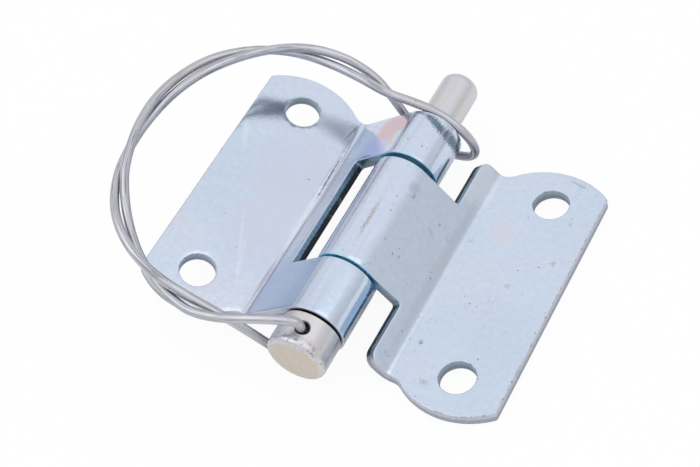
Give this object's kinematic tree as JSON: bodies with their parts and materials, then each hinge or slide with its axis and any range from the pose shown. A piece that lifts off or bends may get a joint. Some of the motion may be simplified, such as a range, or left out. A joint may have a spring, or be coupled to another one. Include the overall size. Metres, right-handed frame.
{
  "type": "trailer tailgate hinge",
  "caption": "Cranked strap hinge for a trailer tailgate: two pressed steel leaves on a headed pin, which a doubled spring wire locks.",
  "frame": {"origin": "midway between the two screw holes of the one-knuckle leaf, on its mounting face", "axes": "+Z out of the mounting face towards the knuckles' side, +Y along the pin towards its tip, +X away from the pin across the one-knuckle leaf"},
  "size_m": [0.107, 0.0951, 0.0372],
  "materials": {
    "zinc_plated_sheet": "bright blue passivated zinc, soft mirror gloss",
    "zinc_plated_pin": "zinc plated, satin",
    "spring_wire": "drawn wire, fine lengthwise lines"
  },
  "bodies": {
    "fixed_leaf": {"one_knuckle_leaf": "zinc_plated_sheet"},
    "swinging_leaf": {"two_knuckle_leaf": "zinc_plated_sheet"},
    "pin": {"hinge_pin": "zinc_plated_pin"},
    "wire": {"retaining_wire": "spring_wire"}
  },
  "joints": [
    {"name": "leaf_hinge", "type": "hinge", "parent": "fixed_leaf", "child": "swinging_leaf", "pos_m": [-0.0335, 0, 0.013], "axis": [0, 1, 0], "range_deg": [-120, 160]},
    {"name": "pin_turn", "type": "hinge", "parent": "swinging_leaf", "child": "pin", "pos_m": [-0.0335, 0, 0.013], "axis": [0, 1, 0], "range_deg": [-9, 4]},
    {"name": "wire_swing", "type": "hinge", "parent": "pin", "child": "wire", "pos_m": [-0.0335, -0.0368, 0.013], "axis": [0.1908, 0, 0.9816], "range_deg": [-1.4, 1.2]}
  ]
}
